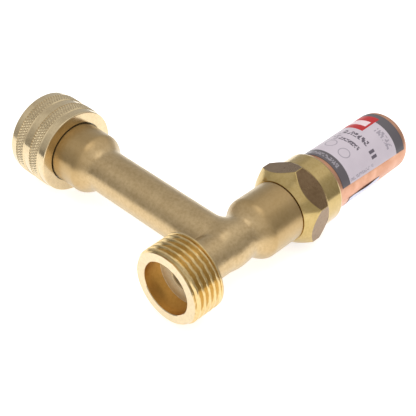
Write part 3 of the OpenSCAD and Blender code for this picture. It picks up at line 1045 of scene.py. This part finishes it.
FLOOR_Z = cad_box[0][2]
TENT_CENTRE = Vector((-0.038, 0.048, FLOOR_Z))
TENT_RADIUS = 0.185
TENT_WALL = 0.12                # height at which the tent's wall turns into its dome
CAMERA_TARGET = Vector((-0.025, 0.030, 0.0))
CAMERA_AZIMUTH, CAMERA_ELEVATION, CAMERA_ROLL = (math.radians(a) for a in (42.67, 39.87, 1.84))
CAMERA_DISTANCE = 0.360
CAMERA_ASIDE, CAMERA_UP = 0.01043, -0.00006
CAMERA_LENS = 93.17
FLOOR_HALF = 3.0
FLOOR_GAP = 0.0001              # the floor lies this far under the object, so that they don't flicker
TENT_SIDES = 64
FILL_POWER = 1.2
FILL_SIZE = 0.5
FILL_OFFSET = Vector((0.10, -0.05, 0.6))
FLOOR_GLOW = 0.68
TENT_GREY = 0.61
SOFTBOXES = (
    # direction from the object, cosines where the box ends and where it is full, added brightness
    ((0.05, 0.62, 0.78), 0.86, 0.93, 0.20),
    ((0.45, -0.60, 0.66), 0.90, 0.95, 0.30),
    ((0.10, -0.08, 1.00), 0.92, 0.97, 0.90),
    ((-0.52, -0.56, 0.64), 0.80, 0.97, 0.16),
    ((0.52, 0.56, 0.64), 0.80, 0.97, 0.12),
)
SHADES = (
    # the same, for darker cloth
    ((0.85, 0.52, 0.05), 0.70, 0.93, -0.20),
    ((-0.53, -0.84, 0.10), 0.75, 0.97, -0.22),
    ((-0.53, -0.84, 0.06), 0.985, 0.998, -0.24),
)


def make_camera():
    """The camera, at the angle from which the object is mostly seen."""
    away = Vector((
        -math.sin(CAMERA_AZIMUTH) * math.cos(CAMERA_ELEVATION),
        math.cos(CAMERA_AZIMUTH) * math.cos(CAMERA_ELEVATION),
        -math.sin(CAMERA_ELEVATION),
    ))
    turn = away.to_track_quat("-Z", "Y").to_matrix() @ Matrix.Rotation(CAMERA_ROLL, 3, "Z")
    camera = bpy.data.objects.new("camera", bpy.data.cameras.new("camera"))
    bpy.context.scene.collection.objects.link(camera)
    camera.rotation_mode = "QUATERNION"
    camera.rotation_quaternion = turn.to_quaternion()
    camera.location = CAMERA_TARGET - away * CAMERA_DISTANCE + turn @ Vector((CAMERA_ASIDE, CAMERA_UP, 0))
    camera.data.sensor_width = 36
    camera.data.lens = CAMERA_LENS
    camera.data.clip_start, camera.data.clip_end = 0.01, 20
    bpy.context.scene.camera = camera


def make_floor():
    """A plain pale floor, a little luminous so that it stays white inside the tent."""
    mesh = bpy.data.meshes.new("floor")
    corners = [(-FLOOR_HALF, -FLOOR_HALF, 0), (FLOOR_HALF, -FLOOR_HALF, 0),
               (FLOOR_HALF, FLOOR_HALF, 0), (-FLOOR_HALF, FLOOR_HALF, 0)]
    mesh.from_pydata(corners, [], [(0, 1, 2, 3)])
    floor = bpy.data.objects.new("floor", mesh)
    floor.location.z = FLOOR_Z - FLOOR_GAP
    bpy.context.scene.collection.objects.link(floor)
    s = Surface("floor_paper")
    fibre = s.noise(30, 3, 0.5, seed=15.1)
    s.set(Base_Color=s.mix(fibre, (0.86, 0.86, 0.86, 1), (0.88, 0.88, 0.88, 1)), Roughness=0.9,
          Specular_IOR_Level=0.1, Emission_Color=(1, 1, 1, 1), Emission_Strength=FLOOR_GLOW)
    mesh.materials.append(s.material)


def make_tent():
    """A grey cloth tent that lights the object and that metal mirrors. The camera looks through it."""
    profile = [[TENT_RADIUS, 0.0]] + arc(0, TENT_WALL, TENT_RADIUS, 0, 90, 14)
    angles = np.arange(TENT_SIDES) * FULL_TURN / TENT_SIDES
    points = [(r * math.cos(a), r * math.sin(a), h) for r, h in profile for a in angles]
    mesh = bpy.data.meshes.new("tent")
    mesh.from_pydata(points, [], grid_faces(len(profile), TENT_SIDES))
    tent = bpy.data.objects.new("tent", mesh)
    tent.location = TENT_CENTRE
    bpy.context.scene.collection.objects.link(tent)
    tent.visible_camera = False
    tent.visible_shadow = False
    s = Surface("tent_cloth")
    way = s.node("ShaderNodeVectorMath", operation="NORMALIZE")
    s.put(way.inputs[0], s.places.outputs["Object"])
    level = TENT_GREY
    for direction, low, high, gain in SOFTBOXES + SHADES:
        dot = s.node("ShaderNodeVectorMath", operation="DOT_PRODUCT")
        s.put(dot.inputs[0], way.outputs[0])
        dot.inputs[1].default_value = Vector(direction).normalized()
        level = s.math("ADD", s.span(dot.outputs["Value"], low, high, 0, gain), level)
    s.set(Base_Color=(0, 0, 0, 1), Roughness=1.0, Specular_IOR_Level=0.0, Emission_Color=(1, 0.98, 0.95, 1))
    s.put(s.shader.inputs["Emission Strength"], level)
    mesh.materials.append(s.material)


def make_fill_light():
    """A broad lamp overhead for paint and film. Metal doesn't mirror it."""
    lamp = bpy.data.lights.new("fill", "AREA")
    lamp.shape, lamp.size, lamp.energy = "DISK", FILL_SIZE, FILL_POWER
    light = bpy.data.objects.new("fill", lamp)
    light.location = TENT_CENTRE + FILL_OFFSET
    light.rotation_mode = "QUATERNION"
    light.rotation_quaternion = (TENT_CENTRE - light.location).to_track_quat("-Z", "Y")
    light.visible_glossy = False
    light.visible_camera = False
    bpy.context.scene.collection.objects.link(light)


def make_world():
    world = bpy.data.worlds.new("studio")
    world.use_nodes = True
    background = world.node_tree.nodes["Background"]
    background.inputs["Color"].default_value = (1, 1, 1, 1)
    background.inputs["Strength"].default_value = 1.0
    bpy.context.scene.world = world


build_object()
make_camera()
make_floor()
make_tent()
make_fill_light()
make_world()
bpy.context.scene.view_settings.view_transform = "Standard"
